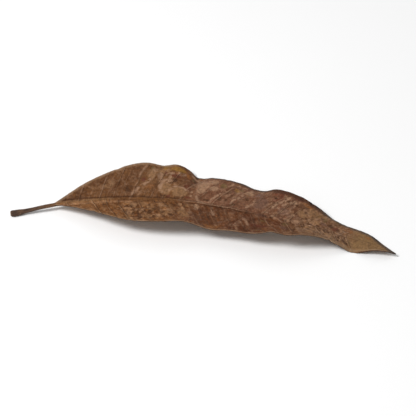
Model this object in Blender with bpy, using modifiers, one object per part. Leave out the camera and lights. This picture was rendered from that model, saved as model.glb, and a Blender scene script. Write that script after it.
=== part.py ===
"""A dried mango leaf lying on a flat surface, upper side up.

It is one piece, as it grew: a waved blade with a midrib and side veins, and a
leaf stalk with a swollen foot. The leaf runs along +X to its tip. Its halves
are the far half at +Y, nearly flat with strong waves, and the near half at -Y,
folded up a little. It rests on three low spots, each worn flat at Z = 0: the
stalk's foot, a trough of the far margin and a trough of the near margin.

The origin is under the middle of the leaf's box, on the surface. Lengths are
in metres. Along the blade, t runs from 0 at the base to 1 at the tip. Across
it, v runs from -1 at the near margin over 0 on the midrib to 1 at the far one.
"""

import bmesh
import bpy
import numpy as np

# Blade: where it starts along X, and how far it reaches.
BASE_X = -0.0924
BLADE_SPAN = 0.2099

# Midrib: its sideways bow and its height, as (t, metres).
MIDRIB_SIDE = [
    (0.0, -0.0166), (0.1, -0.0094), (0.2, -0.0043), (0.3, -0.0005), (0.4, 0.0013), (0.5, 0.0002),
    (0.6, -0.0027), (0.7, -0.0049), (0.8, -0.0062), (0.9, -0.0095), (1.0, -0.0164),
]
MIDRIB_HEIGHT = [
    (0.0, 0.0050), (0.15, 0.0045), (0.3, 0.0042), (0.4, 0.0044), (0.5, 0.0056), (0.6, 0.0066),
    (0.7, 0.0063), (0.8, 0.0046), (0.88, 0.0026), (0.94, 0.0021), (1.0, 0.0028),
]

# Half widths seen from above, as (t, metres): widest at about 0.3, a drawn-out tip.
FAR_HALF = [
    (0.0, 0.0013), (0.04, 0.0056), (0.09, 0.0125), (0.15, 0.0199), (0.22, 0.0258), (0.29, 0.0276),
    (0.35, 0.0281), (0.385, 0.0269), (0.41, 0.0268), (0.445, 0.0252), (0.5, 0.0239), (0.58, 0.0224),
    (0.65, 0.0206), (0.73, 0.0172), (0.8, 0.0124), (0.86, 0.0100), (0.91, 0.0082), (0.96, 0.0038), (1.0, 0.0005),
]
NEAR_HALF = [
    (0.0, 0.0013), (0.04, 0.0052), (0.09, 0.0120), (0.15, 0.0196), (0.22, 0.0256), (0.29, 0.0276),
    (0.37, 0.0271), (0.45, 0.0254), (0.55, 0.0230), (0.65, 0.0203), (0.73, 0.0170), (0.8, 0.0126),
    (0.85, 0.0103), (0.91, 0.0081), (0.96, 0.0038), (1.0, 0.0005),
]

# Heights of the waved margins, as (t, metres). The low point of each is a foot.
FAR_HEIGHT = [
    (0.0, 0.0050), (0.07, 0.0078), (0.14, 0.0092), (0.21, 0.0105), (0.26, 0.0108), (0.30, 0.0080),
    (0.345, 0.0086), (0.372, 0.0050), (0.393, 0.0004), (0.404, 0.0003), (0.43, 0.0029), (0.47, 0.0048),
    (0.515, 0.0048), (0.55, 0.0033), (0.58, 0.0047), (0.62, 0.0092), (0.66, 0.0104), (0.71, 0.0096),
    (0.76, 0.0068), (0.81, 0.0018), (0.84, 0.0011), (0.90, 0.0014), (0.96, 0.0016), (1.0, 0.0028),
]
NEAR_HEIGHT = [
    (0.0, 0.0050), (0.07, 0.0082), (0.14, 0.0112), (0.22, 0.0128), (0.3, 0.0142), (0.39, 0.0149),
    (0.43, 0.0127), (0.475, 0.0096), (0.54, 0.0108), (0.575, 0.0108), (0.61, 0.0117), (0.66, 0.0146),
    (0.695, 0.0133), (0.73, 0.0136), (0.80, 0.0098), (0.84, 0.0050), (0.88, 0.0005), (0.894, 0.0003),
    (0.925, 0.0026), (0.96, 0.0042), (1.0, 0.0028),
]

# How each half rises from the midrib to its margin: 1 is straight, more is dished.
FAR_BEND = 1.7
NEAR_BEND = 1.35

# Side veins: pairs, and how far a vein runs towards the tip on its way to the margin, in t.
VEIN_PAIRS = 21
VEIN_ADVANCE = 0.075
ROWS_PER_VEIN = 4
COLUMNS_PER_HALF = 10

# Thicknesses. The ribs stand out a quarter on the upper side and three quarters below.
BLADE_THICK = 0.00075
MIDRIB_THICK = [(0.0, 0.0026), (0.3, 0.0019), (0.7, 0.0013), (1.0, 0.0009)]
VEIN_THICK_INNER = 0.0015
VEIN_THICK_OUTER = 0.0010
MIDRIB_HALF_WIDTH = [(0.0, 0.0012), (0.5, 0.0009), (1.0, 0.0003)]
RIB_OFFSET = -0.5

# Leaf stalk: its middle line from the foot into the blade, as (X, Y, Z, radius).
STALK = [
    (-0.1175, -0.0266, 0.00165, 0.0013), (-0.1168, -0.0263, 0.00165, 0.0018), (-0.1148, -0.0255, 0.00165, 0.0020),
    (-0.1128, -0.0246, 0.00172, 0.0019), (-0.1095, -0.0234, 0.00225, 0.00145), (-0.1060, -0.0221, 0.00280, 0.00125),
    (-0.1010, -0.0201, 0.00355, 0.00118), (-0.0960, -0.0181, 0.00410, 0.0012), (-0.0924, -0.0166, 0.00432, 0.00118),
    (-0.0885, -0.0150, 0.00435, 0.00095), (-0.0845, -0.0135, 0.00430, 0.0006),
]
STALK_SIDES_LEVEL = 4

# The flat surface, as a slab whose top is at Z = 0.
SURFACE_LENGTH = 0.28
SURFACE_WIDTH = 0.10
SURFACE_DEPTH = 0.005

DRY_BROWN = (0.150, 0.073, 0.043, 1.0)
ROUGHNESS = 0.6


def smooth(points, at):
    """A smooth curve through (t, value) points, read at the values in at."""
    places, values = np.array(points).T
    slopes = np.gradient(values, places)
    k = np.clip(np.searchsorted(places, at) - 1, 0, len(places) - 2)
    gap = places[k + 1] - places[k]
    u = (at - places[k]) / gap
    ends = values[k] * (1 + 2 * u) * (1 - u) ** 2 + values[k + 1] * u**2 * (3 - 2 * u)
    return ends + gap * u * (1 - u) * (slopes[k] * (1 - u) - slopes[k + 1] * u)


def midrib(t):
    """Points of the midrib's middle line."""
    return np.stack([BASE_X + BLADE_SPAN * t, smooth(MIDRIB_SIDE, t), smooth(MIDRIB_HEIGHT, t)], axis=-1)


def surface(t, v):
    """Points of the blade's middle surface."""
    step = 1e-3
    along = midrib(np.clip(t + step, 0, 1)) - midrib(np.clip(t - step, 0, 1))
    length = np.hypot(along[:, 0], along[:, 1])
    far = v > 0
    half = np.where(far, smooth(FAR_HALF, t), smooth(NEAR_HALF, t))
    margin = np.where(far, smooth(FAR_HEIGHT, t), smooth(NEAR_HEIGHT, t))
    bend = np.where(far, FAR_BEND, NEAR_BEND)
    points = midrib(t)
    points[:, 0] -= along[:, 1] / length * half * v
    points[:, 1] += along[:, 0] / length * half * v
    points[:, 2] += (margin - points[:, 2]) * np.abs(v) ** bend
    return points


def across(column, t):
    """v of a grid column: the first on each side bounds the midrib, the rest share out the half."""
    half = np.where(column > 0, smooth(FAR_HALF, t), smooth(NEAR_HALF, t))
    flank = np.minimum(smooth(MIDRIB_HALF_WIDTH, t) / half, 0.5)
    share = (np.abs(column) - 1) / (COLUMNS_PER_HALF - 1)
    return np.where(column == 0, 0.0, np.sign(column) * (flank + (1 - flank) * share))


def along_vein(row_t, v):
    """t on a row of the grid. Each row leaves the midrib and curves to the tip, as a side vein does."""
    u = np.abs(v)
    return row_t + VEIN_ADVANCE * (0.7 * u + 0.3 * u**3) * 4 * row_t * (1 - row_t)


def thickness(row, column, t, v):
    """Thickness of the blade at a grid point, with its midrib and side veins."""
    u = np.abs(v)
    phase = np.where(column > 0, ROWS_PER_VEIN // 2, 0)
    on_vein = (row % ROWS_PER_VEIN == phase) & (row > 0) & (row < VEIN_PAIRS * ROWS_PER_VEIN) & (u < 0.95)
    vein = VEIN_THICK_INNER + (VEIN_THICK_OUTER - VEIN_THICK_INNER) * u
    return np.where(column == 0, smooth(MIDRIB_THICK, t), np.where(on_vein, vein, BLADE_THICK))


def leaf_material():
    material = bpy.data.materials.new("dry_leaf")
    material.use_nodes = True
    shader = material.node_tree.nodes["Principled BSDF"]
    shader.inputs["Base Color"].default_value = DRY_BROWN
    shader.inputs["Roughness"].default_value = ROUGHNESS
    shader.inputs["Metallic"].default_value = 0.0
    return material


def add_blade(collection):
    """The blade as an open sheet of triangles, thickened where its ribs run."""
    rows = VEIN_PAIRS * ROWS_PER_VEIN
    columns = 2 * COLUMNS_PER_HALF
    sheet = bmesh.new()
    bmesh.ops.create_grid(sheet, x_segments=rows, y_segments=columns, size=1.0)
    flat = np.array([vertex.co for vertex in sheet.verts])
    row = np.rint((flat[:, 0] + 1) / 2 * rows)
    column = np.rint(flat[:, 1] * COLUMNS_PER_HALF)
    v = across(column, row / rows)
    t = along_vein(row / rows, v)
    for vertex, point in zip(sheet.verts, surface(t, v)):
        vertex.co = point
    bmesh.ops.triangulate(sheet, faces=sheet.faces)
    mesh = bpy.data.meshes.new("leaf")
    sheet.to_mesh(mesh)
    sheet.free()
    mesh.shade_smooth()
    blade = bpy.data.objects.new("leaf", mesh)
    collection.objects.link(blade)

    thickest = max(thick for _, thick in MIDRIB_THICK)
    group = blade.vertex_groups.new(name="thickness")
    for index, thick in enumerate(thickness(row, column, t, v)):
        group.add([index], thick / thickest, "REPLACE")
    solidify = blade.modifiers.new("thickness", "SOLIDIFY")
    solidify.thickness = thickest
    solidify.vertex_group = group.name
    solidify.offset = RIB_OFFSET
    return blade


def add_stalk(collection):
    """The stalk as a closed tube that runs a little way into the midrib."""
    curve = bpy.data.curves.new("stalk_line", "CURVE")
    curve.dimensions = "3D"
    curve.bevel_depth = 1.0
    curve.bevel_resolution = STALK_SIDES_LEVEL
    curve.use_fill_caps = True
    spline = curve.splines.new("POLY")
    spline.points.add(len(STALK) - 1)
    for point, (x, y, z, radius) in zip(spline.points, STALK):
        point.co = (x, y, z, 1.0)
        point.radius = radius
    line = bpy.data.objects.new("stalk_line", curve)
    collection.objects.link(line)
    bpy.context.view_layer.update()

    graph = bpy.context.evaluated_depsgraph_get()
    mesh = bpy.data.meshes.new_from_object(line.evaluated_get(graph))
    tube = bmesh.new()
    tube.from_mesh(mesh)
    bmesh.ops.remove_doubles(tube, verts=tube.verts, dist=1e-6)
    tube.to_mesh(mesh)
    tube.free()
    stalk = bpy.data.objects.new("stalk", mesh)
    stalk.matrix_world = line.matrix_world
    collection.objects.link(stalk)
    bpy.data.objects.remove(line)
    return stalk


def add_surface(collection):
    """The slab that wears the leaf's low spots flat."""
    bpy.ops.mesh.primitive_cube_add(size=1, location=(0, 0, -SURFACE_DEPTH / 2))
    slab = bpy.context.object
    slab.name = "surface"
    slab.scale = (SURFACE_LENGTH, SURFACE_WIDTH, SURFACE_DEPTH)
    for home in slab.users_collection:
        home.objects.unlink(slab)
    collection.objects.link(slab)
    return slab


def combine(target, operation, other):
    boolean = target.modifiers.new(other.name, "BOOLEAN")
    boolean.operation = operation
    boolean.solver = "EXACT"
    boolean.object = other
    other.hide_render = True
    other.display_type = "WIRE"


def main():
    for old in list(bpy.data.objects):
        bpy.data.objects.remove(old)
    parts = bpy.data.collections.new("dried_mango_leaf")
    helpers = bpy.data.collections.new("helpers")
    bpy.context.scene.collection.children.link(parts)
    bpy.context.scene.collection.children.link(helpers)

    leaf = add_blade(parts)
    leaf.data.materials.append(leaf_material())
    combine(leaf, "UNION", add_stalk(helpers))
    combine(leaf, "DIFFERENCE", add_surface(helpers))


main()
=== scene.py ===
"""Looks of the dried mango leaf: a fine blade and stalk in place of the plain solid.

Lengths are in metres. Along the blade, t runs from 0 at the base to 1 at the
tip. Across it, v runs from -1 at the near margin over 0 on the midrib to 1 at
the far one, and u is v without its sign.
"""

import bpy
import numpy as np
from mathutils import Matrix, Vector


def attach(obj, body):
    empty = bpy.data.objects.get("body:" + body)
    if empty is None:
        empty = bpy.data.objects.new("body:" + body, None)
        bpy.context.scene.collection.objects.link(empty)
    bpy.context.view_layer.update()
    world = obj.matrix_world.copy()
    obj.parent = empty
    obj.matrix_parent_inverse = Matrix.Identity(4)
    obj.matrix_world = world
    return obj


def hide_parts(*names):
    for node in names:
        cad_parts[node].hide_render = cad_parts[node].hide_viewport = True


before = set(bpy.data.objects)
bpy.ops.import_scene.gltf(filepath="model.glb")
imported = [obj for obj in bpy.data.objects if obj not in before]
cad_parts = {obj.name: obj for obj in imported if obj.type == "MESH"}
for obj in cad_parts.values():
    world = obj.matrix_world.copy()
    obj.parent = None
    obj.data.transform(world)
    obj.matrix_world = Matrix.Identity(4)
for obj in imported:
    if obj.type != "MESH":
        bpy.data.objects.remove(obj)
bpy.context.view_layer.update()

# Form of the blade, as in the solid.
BASE_X = -0.0924
BLADE_SPAN = 0.2099
MIDRIB_SIDE = [
    (0.0, -0.0166), (0.1, -0.0094), (0.2, -0.0043), (0.3, -0.0005), (0.4, 0.0013), (0.5, 0.0002),
    (0.6, -0.0027), (0.7, -0.0049), (0.8, -0.0062), (0.9, -0.0095), (1.0, -0.0164),
]
MIDRIB_HEIGHT = [
    (0.0, 0.0050), (0.15, 0.0045), (0.3, 0.0042), (0.4, 0.0044), (0.5, 0.0056), (0.6, 0.0066),
    (0.7, 0.0063), (0.8, 0.0046), (0.88, 0.0026), (0.94, 0.0021), (1.0, 0.0028),
]
FAR_HALF = [
    (0.0, 0.0006), (0.04, 0.0056), (0.09, 0.0125), (0.15, 0.0199), (0.22, 0.0258), (0.29, 0.0276),
    (0.35, 0.0281), (0.385, 0.0269), (0.41, 0.0268), (0.445, 0.0252), (0.5, 0.0239), (0.58, 0.0224),
    (0.65, 0.0206), (0.73, 0.0172), (0.8, 0.0124), (0.86, 0.0100), (0.91, 0.0082), (0.96, 0.0038),
    (1.0, 0.0002),
]
NEAR_HALF = [
    (0.0, 0.0006), (0.04, 0.0052), (0.09, 0.0120), (0.15, 0.0196), (0.22, 0.0256), (0.29, 0.0276),
    (0.37, 0.0271), (0.45, 0.0254), (0.55, 0.0230), (0.65, 0.0203), (0.73, 0.0170), (0.8, 0.0126),
    (0.85, 0.0103), (0.91, 0.0081), (0.96, 0.0038), (1.0, 0.0002),
]
FAR_HEIGHT = [
    (0.0, 0.0050), (0.07, 0.0078), (0.14, 0.0092), (0.21, 0.0105), (0.26, 0.0108), (0.30, 0.0080),
    (0.345, 0.0086), (0.372, 0.0050), (0.393, 0.0004), (0.404, 0.0003), (0.43, 0.0029), (0.47, 0.0048),
    (0.515, 0.0048), (0.55, 0.0033), (0.58, 0.0047), (0.62, 0.0092), (0.66, 0.0104), (0.71, 0.0096),
    (0.76, 0.0068), (0.81, 0.0018), (0.84, 0.0011), (0.90, 0.0014), (0.96, 0.0016), (1.0, 0.0028),
]
NEAR_HEIGHT = [
    (0.0, 0.0050), (0.07, 0.0082), (0.14, 0.0112), (0.22, 0.0128), (0.3, 0.0142), (0.39, 0.0149),
    (0.43, 0.0127), (0.475, 0.0096), (0.54, 0.0108), (0.575, 0.0108), (0.61, 0.0117), (0.66, 0.0146),
    (0.695, 0.0133), (0.73, 0.0136), (0.80, 0.0098), (0.84, 0.0050), (0.88, 0.0005), (0.894, 0.0003),
    (0.925, 0.0026), (0.96, 0.0042), (1.0, 0.0028),
]
FAR_BEND = 1.7
NEAR_BEND = 1.35

# Side veins. Their slant makes the distance across them less than their pitch along the midrib.
VEIN_PAIRS = 21
VEIN_ADVANCE = 0.075
VEIN_PITCH = BLADE_SPAN / VEIN_PAIRS
VEIN_SLANT = 0.85
VEIN_UNEVENNESS = 0.25
VEIN_UNEVEN_LENGTH = 0.030

# Fineness of the blade's mesh.
ROWS = VEIN_PAIRS * 24
HALF_COLUMNS = 48
COLUMN_CROWDING = 0.35

# Relief on the upper side, and ribs that stand out below. It fades where the half width is small.
BLADE_THICK = 0.00032
LEAST_THICK = 0.0001
LOWEST = 0.00002
NARROW = 0.006
RIB_SHIFT = [(0.0, 0.0), (0.12, 0.0004), (0.2, 0.0008), (0.34, 0.0008), (0.42, 0.0002), (1.0, 0.0)]
RIB_RISE = [(0.0, 0.00050), (0.35, 0.00034), (0.7, 0.00018), (1.0, 0.00004)]
RIB_REACH = [(0.0, 0.0014), (0.3, 0.0011), (0.42, 0.0007), (1.0, 0.0004)]
RIB_DROP = [(0.0, 0.0016), (0.3, 0.0011), (0.7, 0.0006), (1.0, 0.0001)]
RIB_DROP_REACH = 0.0010
VEIN_RISE = 0.00009
VEIN_DROP = 0.00026
VEIN_REACH = 0.00038
QUILT = 0.00026
QUILT_START = 0.003
CRUMPLE_COARSE = 0.00036
CRUMPLE_COARSE_LENGTH = 0.011
CRUMPLE_FINE = 0.00011
CRUMPLE_FINE_LENGTH = 0.0034
RIM_CURL = 0.00035
RIM_CURL_REACH = 0.0010
RIM_CURL_NARROW = 0.008

# Random waves. The seed of each is here, and the two sides read them this far apart.
RIPPLE_WAVES = 18
RIPPLE_SCALE = 6
SIDES_APART = 0.05
SEEDS = {"margin": 11, "margin_fine": 12, "veins": 21, "crumple": 5, "crumple_fine": 8, "stalk": 3}

# Blisters and dents, as (t, v, reach in t, reach in v, height).
SWELLINGS = [
    (0.308, 0.36, 0.015, 0.16, 0.0011), (0.357, 0.30, 0.024, 0.14, 0.0009),
    (0.350, 0.68, 0.022, 0.14, -0.0010), (0.300, 0.62, 0.012, 0.10, -0.0004),
    (0.265, 0.42, 0.022, 0.16, -0.0005), (0.430, 0.68, 0.030, 0.22, 0.0006),
    (0.430, 0.22, 0.018, 0.12, -0.0005), (0.475, 0.25, 0.016, 0.15, -0.0005),
    (0.512, 0.16, 0.014, 0.10, -0.0005), (0.590, 0.50, 0.030, 0.25, 0.0005),
    (0.640, 0.72, 0.022, 0.18, -0.0005), (0.712, 0.60, 0.022, 0.10, -0.0006),
    (0.240, -0.50, 0.030, 0.20, 0.0006), (0.330, -0.45, 0.035, 0.25, 0.0005),
    (0.560, -0.50, 0.018, 0.25, 0.0005), (0.610, -0.52, 0.026, 0.20, -0.0005),
    (0.770, 0.30, 0.024, 0.35, 0.0005), (0.820, 0.05, 0.024, 0.50, -0.0004),
]

# Small nicks in the margins, as (t, side, reach in t, depth).
NICKS = [
    (0.814, -1, 0.0040, 0.0009), (0.742, 1, 0.0040, 0.0003), (0.655, -1, 0.0060, 0.0003),
    (0.18, 1, 0.0080, 0.0005), (0.11, -1, 0.0070, 0.0004), (0.47, 1, 0.0050, 0.0003),
    (0.24, -1, 0.0050, 0.0003),
]
MARGIN_RAGGED = 0.00013
RAGGED_LENGTH = 0.006
RAGGED_FINE_LENGTH = 0.0022

# Stains, each as (t, v, reach in t, reach in v, strength); the first maroon and the first dark spot are
# painted shade. The last five names aren't stains:
# they say where the surface is smooth, calm, patchy, striped or streaked.
STAINS = {
    "ochre": [
        (0.343, 0.88, 0.025, 0.070, 1.0), (0.308, 0.92, 0.020, 0.050, 0.7), (0.508, 0.68, 0.014, 0.13, 0.6),
        (0.10, 0.90, 0.03, 0.10, 0.5), (0.765, 0.62, 0.025, 0.20, 0.5),
    ],
    "tan": [
        (0.300, 0.84, 0.024, 0.10, 1.1), (0.272, 0.72, 0.014, 0.14, 1.0), (0.385, -0.62, 0.020, 0.20, 0.8),
        (0.312, 0.36, 0.017, 0.19, 1.3), (0.353, 0.27, 0.025, 0.13, 1.3), (0.222, -0.17, 0.012, 0.10, 1.1),
        (0.252, -0.19, 0.012, 0.12, 0.9), (0.212, -0.70, 0.012, 0.24, 1.1), (0.305, -0.22, 0.014, 0.10, 1.2),
        (0.370, -0.40, 0.018, 0.20, 0.9), (0.320, -0.55, 0.026, 0.18, 0.8), (0.718, 0.39, 0.016, 0.18, 1.0),
        (0.751, 0.57, 0.026, 0.20, 1.1), (0.757, 0.18, 0.020, 0.14, 1.0), (0.780, 0.70, 0.014, 0.15, 0.9),
        (0.735, -0.25, 0.022, 0.16, 0.8), (0.785, -0.55, 0.022, 0.30, 1.2), (0.270, -0.70, 0.016, 0.14, 0.9),
        (0.275, -0.26, 0.014, 0.09, 1.2), (0.328, -0.21, 0.016, 0.07, 1.1), (0.381, -0.15, 0.010, 0.06, 1.0),
        (0.748, -0.50, 0.018, 0.22, 1.0), (0.808, -0.50, 0.012, 0.25, 1.1), (0.748, 0.45, 0.014, 0.14, 1.2),
        (0.08, -0.3, 0.03, 0.4, 0.6), (0.15, 0.6, 0.03, 0.25, 0.6),
    ],
    "pink": [
        (0.282, 0.84, 0.016, 0.12, 0.6), (0.294, 0.72, 0.010, 0.10, 1.0), (0.383, 0.88, 0.009, 0.05, 0.9),
        (0.307, 0.60, 0.012, 0.06, 0.9), (0.322, 0.68, 0.007, 0.07, 0.9), (0.298, 0.42, 0.006, 0.14, 1.0),
        (0.412, 0.66, 0.026, 0.22, 0.9), (0.410, 0.46, 0.015, 0.12, 1.1), (0.436, 0.80, 0.020, 0.14, 0.8),
        (0.442, 0.58, 0.016, 0.14, 0.9), (0.395, 0.84, 0.012, 0.10, 0.7), (0.527, 0.84, 0.009, 0.08, 0.7),
        (0.657, 0.28, 0.010, 0.08, 0.7), (0.300, -0.10, 0.014, 0.05, 0.8), (0.395, -0.45, 0.008, 0.20, 0.7),
        (0.322, 0.58, 0.009, 0.06, 0.9), (0.225, -0.20, 0.010, 0.10, 1.5), (0.212, -0.62, 0.009, 0.12, 1.4),
        (0.234, -0.45, 0.008, 0.08, 1.3), (0.303, -0.68, 0.008, 0.10, 1.3), (0.369, -0.29, 0.007, 0.08, 1.3),
        (0.414, -0.22, 0.006, 0.06, 1.1), (0.220, -0.90, 0.010, 0.08, 1.3), (0.330, -0.40, 0.008, 0.12, 0.8),
        (0.572, 0.88, 0.014, 0.05, 0.9), (0.702, -0.01, 0.013, 0.10, 1.1), (0.687, 0.71, 0.009, 0.06, 1.1),
        (0.692, 0.24, 0.006, 0.07, 1.2), (0.625, 0.36, 0.007, 0.05, 1.1), (0.721, -0.40, 0.015, 0.14, 0.9),
        (0.661, 0.78, 0.009, 0.05, 1.0), (0.408, -0.13, 0.007, 0.09, 1.1), (0.359, -0.12, 0.007, 0.08, 1.5),
        (0.386, 0.22, 0.005, 0.06, 0.9), (0.386, 0.34, 0.005, 0.06, 0.9), (0.785, -0.36, 0.010, 0.15, 0.9),
        (0.801, -0.61, 0.010, 0.15, 0.9), (0.545, 0.70, 0.016, 0.10, 0.9), (0.490, 0.87, 0.009, 0.08, 0.7),
        (0.303, -0.19, 0.007, 0.07, 1.2), (0.319, -0.22, 0.010, 0.06, 1.0), (0.680, -0.03, 0.010, 0.09, 1.2),
        (0.508, 0.84, 0.008, 0.05, 0.9), (0.250, -0.47, 0.009, 0.09, 0.9),
    ],
    "olive": [
        (0.467, 0.73, 0.010, 0.13, 1.1), (0.520, 0.72, 0.010, 0.10, 0.7), (0.783, 0.55, 0.014, 0.25, 0.7),
        (0.680, -0.25, 0.014, 0.12, 0.9), (0.615, -0.28, 0.016, 0.08, 0.7), (0.625, -0.82, 0.028, 0.10, 0.6),
        (0.866, -0.45, 0.014, 0.30, 0.6), (0.818, 0.82, 0.012, 0.18, 0.9), (0.285, -0.40, 0.02, 0.15, 0.5),
        (0.275, 0.86, 0.010, 0.08, 0.8), (0.385, 0.76, 0.007, 0.06, 0.9), (0.310, 0.97, 0.020, 0.03, 0.9),
    ],
    "rust": [
        (0.338, 0.79, 0.020, 0.03, 1.0), (0.362, 0.88, 0.010, 0.05, 0.9),
        (0.372, 0.81, 0.011, 0.07, 1.1), (0.504, 0.91, 0.009, 0.06, 0.9), (0.480, -0.86, 0.036, 0.08, 1.0),
        (0.727, 0.80, 0.020, 0.10, 1.0), (0.655, 0.90, 0.030, 0.09, 0.7), (0.857, 0.50, 0.012, 0.25, 1.0),
        (0.540, 0.60, 0.006, 0.06, 0.8), (0.912, 0.50, 0.012, 0.25, 0.6), (0.18, -0.6, 0.03, 0.3, 0.6),
        (0.268, 0.39, 0.020, 0.15, 0.62), (0.720, -0.15, 0.007, 0.07, 0.8), (0.848, 0.43, 0.009, 0.18, 0.9),
    ],
    "mauve": [
        (0.590, 0.40, 0.026, 0.28, 1.1), (0.661, 0.28, 0.020, 0.16, 1.1), (0.575, 0.68, 0.022, 0.14, 0.8),
        (0.600, -0.05, 0.026, 0.09, 0.7), (0.500, -0.65, 0.014, 0.06, 0.8), (0.441, -0.70, 0.008, 0.06, 0.8),
        (0.338, 0.58, 0.014, 0.05, 0.7), (0.680, -0.54, 0.016, 0.12, 1.0), (0.785, 0.21, 0.013, 0.10, 0.9),
    ],
    "maroon": [
        # The first maroon spot is painted shade, in the hollow under the ochre lobe.
        (0.338, 0.73, 0.016, 0.06, 1.2), (0.309, 0.79, 0.006, 0.05, 0.9), (0.612, -0.54, 0.030, 0.10, 1.0),
        (0.322, 0.13, 0.009, 0.05, 1.1), (0.642, 0.74, 0.012, 0.16, 1.0), (0.373, 0.46, 0.011, 0.11, 1.1),
        (0.655, -0.02, 0.012, 0.06, 0.8), (0.520, 0.96, 0.03, 0.06, 0.7), (0.250, 0.59, 0.008, 0.06, 1.1),
        (0.645, 0.93, 0.026, 0.08, 1.1), (0.624, 0.83, 0.010, 0.06, 0.9), (0.695, 0.88, 0.024, 0.08, 1.0),
        (0.820, 0.25, 0.013, 0.22, 1.0), (0.628, 0.64, 0.012, 0.10, 1.2), (0.448, 0.15, 0.024, 0.06, 0.7),
        (0.380, 0.15, 0.020, 0.05, 0.8),
    ],
    "dark": [
        # The first dark spot is painted shadow, cast by another leaf lying over the base of the far half.
        (0.207, 0.36, 0.022, 0.20, 0.62), (0.336, 0.61, 0.010, 0.07, 0.9), (0.433, 0.14, 0.014, 0.06, 0.9),
        (0.468, 0.27, 0.008, 0.12, 0.9), (0.486, 0.26, 0.006, 0.10, 0.8), (0.388, 0.74, 0.006, 0.07, 0.9),
        (0.511, 0.15, 0.010, 0.06, 1.0), (0.544, 0.43, 0.008, 0.07, 1.0), (0.627, 0.68, 0.007, 0.06, 1.0),
        (0.735, 0.97, 0.007, 0.09, 1.2), (0.755, 0.98, 0.006, 0.09, 1.2), (0.803, 0.32, 0.010, 0.12, 1.2),
        (0.827, 0.16, 0.009, 0.18, 1.0), (0.834, -0.17, 0.006, 0.18, 0.9), (0.705, -0.52, 0.010, 0.10, 0.9),
        (0.273, -0.52, 0.009, 0.09, 1.2), (0.240, -0.20, 0.007, 0.07, 1.2), (0.246, -0.80, 0.010, 0.11, 1.2),
        (0.290, -0.76, 0.008, 0.09, 1.0), (0.295, -0.07, 0.030, 0.03, 0.8), (0.850, -0.47, 0.006, 0.16, 0.8),
        (0.340, -0.68, 0.010, 0.08, 0.9), (0.262, -0.02, 0.030, 0.03, 0.7), (0.316, -0.52, 0.008, 0.07, 0.8),
        (0.400, -0.06, 0.006, 0.05, 0.9), (0.727, 0.49, 0.006, 0.07, 1.1), (0.732, 0.25, 0.006, 0.06, 1.1),
        (0.747, 0.03, 0.009, 0.06, 1.1), (0.767, 0.04, 0.007, 0.06, 1.0), (0.741, -0.31, 0.007, 0.08, 1.0),
        (0.727, -0.15, 0.008, 0.08, 0.9), (0.765, -0.52, 0.007, 0.10, 1.0), (0.860, -0.62, 0.006, 0.14, 1.0),
        (0.670, 0.69, 0.009, 0.06, 1.0), (0.694, 0.65, 0.006, 0.05, 0.9), (0.801, -0.20, 0.007, 0.10, 1.1),
        (0.927, 0.92, 0.022, 0.16, 1.1), (0.05, 0.2, 0.03, 0.5, 0.5), (0.233, -0.62, 0.026, 0.10, 0.7),
        (0.345, 0.97, 0.018, 0.03, 0.7), (0.390, 0.93, 0.010, 0.07, 0.8), (0.382, 0.58, 0.007, 0.08, 0.8),
    ],
    "smooth": [(0.915, 0.0, 0.056, 2.0, 1.3), (0.955, 0.0, 0.030, 2.0, 1.3)],
    "calm": [
        (0.312, 0.36, 0.019, 0.21, 1.2), (0.353, 0.27, 0.028, 0.16, 1.2), (0.330, 0.90, 0.040, 0.09, 1.1),
        (0.416, 0.64, 0.022, 0.18, 0.9),
    ],
    "patchy": [
        (0.760, 0.10, 0.060, 1.0, 1.2), (0.240, -0.5, 0.06, 0.5, 1.1), (0.330, -0.5, 0.05, 0.4, 0.8),
        (0.66, 0.5, 0.06, 0.7, 1.1), (0.840, 0.0, 0.03, 1.0, 1.0), (0.50, 0.6, 0.04, 0.4, 0.8),
    ],
    "stripes": [
        (0.465, -0.45, 0.060, 0.45, 1.2), (0.61, -0.3, 0.04, 0.3, 0.8), (0.345, -0.20, 0.03, 0.16, 0.7),
    ],
    "streaks": [(0.66, 0.45, 0.070, 0.60, 1.2), (0.55, 0.4, 0.05, 0.4, 0.7)],
}

# Vectors of the mesh that hold the stains.
STAIN_VECTORS = {
    "stain_a": ("ochre", "tan", "pink"),
    "stain_b": ("olive", "rust", "mauve"),
    "stain_c": ("maroon", "dark", "smooth"),
    "grain": ("patchy", "stripes", "streaks"),
}

# Side veins that stand out, and creases, each as a line of (t, v). The crease lines are painted shade: dark
# lines in creases, under the midrib and below the blisters.
PALE_LINES = [
    [(0.217, 0.20), (0.226, 0.28), (0.237, 0.37), (0.249, 0.44), (0.260, 0.51), (0.268, 0.60)],
    [(0.444, 0.07), (0.449, 0.22), (0.456, 0.33), (0.464, 0.43)],
    [(0.503, 0.19), (0.514, 0.34), (0.526, 0.52), (0.537, 0.72), (0.553, 0.88)],
    [(0.553, 0.15), (0.561, 0.31), (0.568, 0.48)],
    [(0.548, -0.72), (0.553, -0.50), (0.561, -0.34)],
    [(0.561, -0.34), (0.571, -0.44), (0.581, -0.60)],
    [(0.626, 0.36), (0.637, 0.50), (0.650, 0.62), (0.667, 0.78)],
    [(0.655, 0.50), (0.670, 0.64), (0.686, 0.73)],
    [(0.616, 0.10), (0.640, -0.02), (0.667, -0.14)],
    [(0.828, -0.20), (0.835, 0.05), (0.841, 0.25)],
    [(0.304, 0.22), (0.296, 0.32), (0.294, 0.44), (0.302, 0.53), (0.318, 0.53)],
    [(0.324, 0.30), (0.332, 0.38), (0.345, 0.43), (0.362, 0.42), (0.374, 0.35)],
    [(0.313, 0.75), (0.330, 0.78), (0.344, 0.79), (0.360, 0.80)],
    [(0.401, 0.23), (0.407, 0.12), (0.416, 0.05), (0.430, 0.05)],
    [(0.457, -0.12), (0.462, -0.24), (0.470, -0.38)],
    [(0.733, -0.30), (0.750, -0.42), (0.770, -0.50)],
]
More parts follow.
